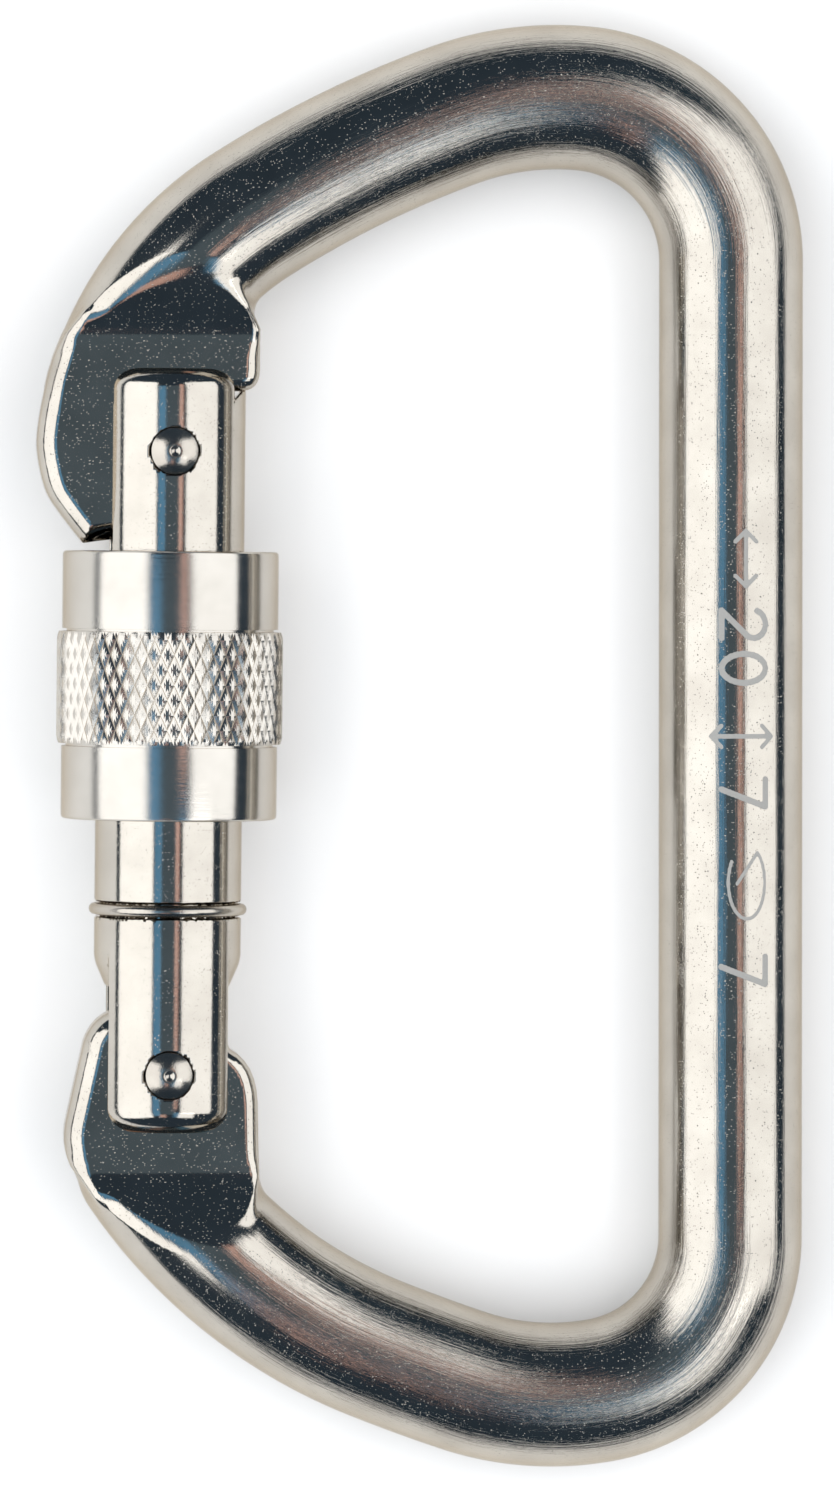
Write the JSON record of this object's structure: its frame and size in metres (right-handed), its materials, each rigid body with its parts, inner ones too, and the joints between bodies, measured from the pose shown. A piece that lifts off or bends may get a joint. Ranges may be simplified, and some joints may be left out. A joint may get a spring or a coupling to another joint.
{
  "type": "locking carabiner",
  "caption": "D-shaped aluminium carabiner with a spring gate that swings inward and a knurled screw sleeve that locks it.",
  "frame": {"origin": "middle of the whole object's box in X and Y, on the plane that the knurl of the sleeve touches when the frame lies level", "axes": "+Y along the major axis from the hinge end to the nose end, +X from the gate to the spine, +Z square to the frame's plane"},
  "size_m": [0.0612, 0.1152, 0.018],
  "materials": {
    "frame_aluminium": "tumbled and polished",
    "gate_aluminium": "turned and polished",
    "sleeve_aluminium": "turned, satin bright, with a diamond knurl",
    "stainless_steel": "bright drawn",
    "spring_steel": "drawn wire"
  },
  "bodies": {
    "frame": {"frame": "frame_aluminium"},
    "gate": {"gate": "gate_aluminium", "hinge_rivet": "stainless_steel", "latch_rivet": "stainless_steel", "gate_spring": "spring_steel"},
    "plunger": {"spring_plunger": "stainless_steel"},
    "ring": {"stop_ring": "stainless_steel"},
    "sleeve": {"locking_sleeve": "sleeve_aluminium"}
  },
  "joints": [
    {"name": "gate_open", "type": "hinge", "parent": "frame", "child": "gate", "pos_m": [-0.02033, -0.0258, 0.009], "axis": [0, 0, -1], "range_deg": [0, 30], "stiffness_Nm_per_rad": 0.25, "springref_deg": -28.65},
    {"name": "plunger_push", "type": "slide", "parent": "gate", "child": "plunger", "axis": [0.01, 0.9999, 0], "range_m": [0, 0.00132], "deforming": ["gate_spring"]},
    {"name": "sleeve_turn", "type": "hinge", "parent": "gate", "child": "ring", "pos_m": [-0.02033, -0.0258, 0.009], "axis": [0.01, 0.9999, 0], "range_deg": [-1441, 271]},
    {"name": "sleeve_travel", "type": "slide", "parent": "ring", "child": "sleeve", "axis": [0.01, 0.9999, 0], "range_m": [-0.0064, 0.0012]}
  ],
  "couplings": [
    {"joint": "plunger_push", "follows": "gate_open", "m_per_rad": 0.0025},
    {"joint": "sleeve_turn", "follows": "sleeve_travel", "rad_per_m": 3927}
  ]
}
